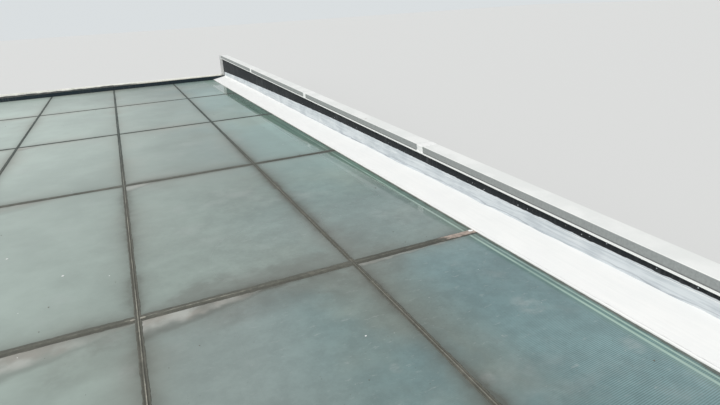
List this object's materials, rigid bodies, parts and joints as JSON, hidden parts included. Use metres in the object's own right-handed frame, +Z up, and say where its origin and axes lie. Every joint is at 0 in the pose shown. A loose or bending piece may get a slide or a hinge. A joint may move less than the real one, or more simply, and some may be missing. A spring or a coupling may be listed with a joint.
{
  "type": "roof skylight",
  "caption": "Flat glass roof skylight: sealed frosted panes on a steel grid, with a far kerb and a white flashing up to a side kerb of growing height.",
  "frame": {"origin": "middle of the footprint, on the underside of the base plates", "axes": "+X across the bays towards the side kerb, +Y along the glass towards the far kerb, +Z up"},
  "size_m": [4.946, 12.515, 0.7055],
  "materials": {
    "frosted_glass": "frosted grey-green glass with a fine line print and a glossy, dusty top",
    "frame_paint": "satin grey paint",
    "bar_aluminium": "mill finish, dull",
    "gasket_rubber": "matt black",
    "weathered_sealant": "hand-tooled silicone, brown with dirt",
    "foam_rod": "closed-cell foam",
    "dark_metal": "dark weathered paint with faint streaks",
    "white_coating": "brushed-on white roof coating",
    "membrane": "lumpy brushed membrane, bluish white",
    "cap_coating": "white coating over grey streaked metal",
    "mortar": "pale mortar, floated by hand and weathered"
  },
  "bodies": {
    "root": {"backer_rods": "foam_rod", "base_plates": "frame_paint", "beam_end_caps": "frame_paint", "cross_beam_1": "frame_paint", "cross_beam_2": "frame_paint", "cross_beam_3": "frame_paint", "cross_beam_4": "frame_paint", "cross_beam_5": "frame_paint", "cross_beam_6": "frame_paint", "cross_glazing_bars": "bar_aluminium", "cross_joint_seals": "weathered_sealant", "edge_angle_far": "bar_aluminium", "edge_angle_left": "bar_aluminium", "edge_angle_near": "bar_aluminium", "edge_angle_right": "bar_aluminium", "edge_seals": "weathered_sealant", "far_kerb": "dark_metal", "far_kerb_capping": "mortar", "glass_gaskets": "gasket_rubber", "glass_row_1_bay_1": "frosted_glass", "glass_row_1_bay_2": "frosted_glass", "glass_row_1_bay_3": "frosted_glass", "glass_row_1_bay_4": "frosted_glass", "glass_row_2_bay_1": "frosted_glass", "glass_row_2_bay_2": "frosted_glass", "glass_row_2_bay_3": "frosted_glass", "glass_row_2_bay_4": "frosted_glass", "glass_row_3_bay_1": "frosted_glass", "glass_row_3_bay_2": "frosted_glass", "glass_row_3_bay_3": "frosted_glass", "glass_row_3_bay_4": "frosted_glass", "glass_row_4_bay_1": "frosted_glass", "glass_row_4_bay_2": "frosted_glass", "glass_row_4_bay_3": "frosted_glass", "glass_row_4_bay_4": "frosted_glass", "glass_row_5_bay_1": "frosted_glass", "glass_row_5_bay_2": "frosted_glass", "glass_row_5_bay_3": "frosted_glass", "glass_row_5_bay_4": "frosted_glass", "glazing_bar_a": "bar_aluminium", "glazing_bar_b": "bar_aluminium", "glazing_bar_c": "bar_aluminium", "kerb_back": "dark_metal", "kerb_cap": "cap_coating", "kerb_end_far": "white_coating", "kerb_end_near": "dark_metal", "kerb_face": "dark_metal", "kerb_posts": "frame_paint", "left_trim": "dark_metal", "long_joint_seals": "weathered_sealant", "membrane_upturn": "membrane", "near_trim": "dark_metal", "rafters_line_a": "frame_paint", "rafters_line_b": "frame_paint", "rafters_line_c": "frame_paint", "rafters_line_d": "frame_paint", "side_beam_left": "frame_paint", "side_beam_right": "frame_paint", "side_flashing": "white_coating", "trim_beds": "weathered_sealant"}
  },
  "joints": []
}
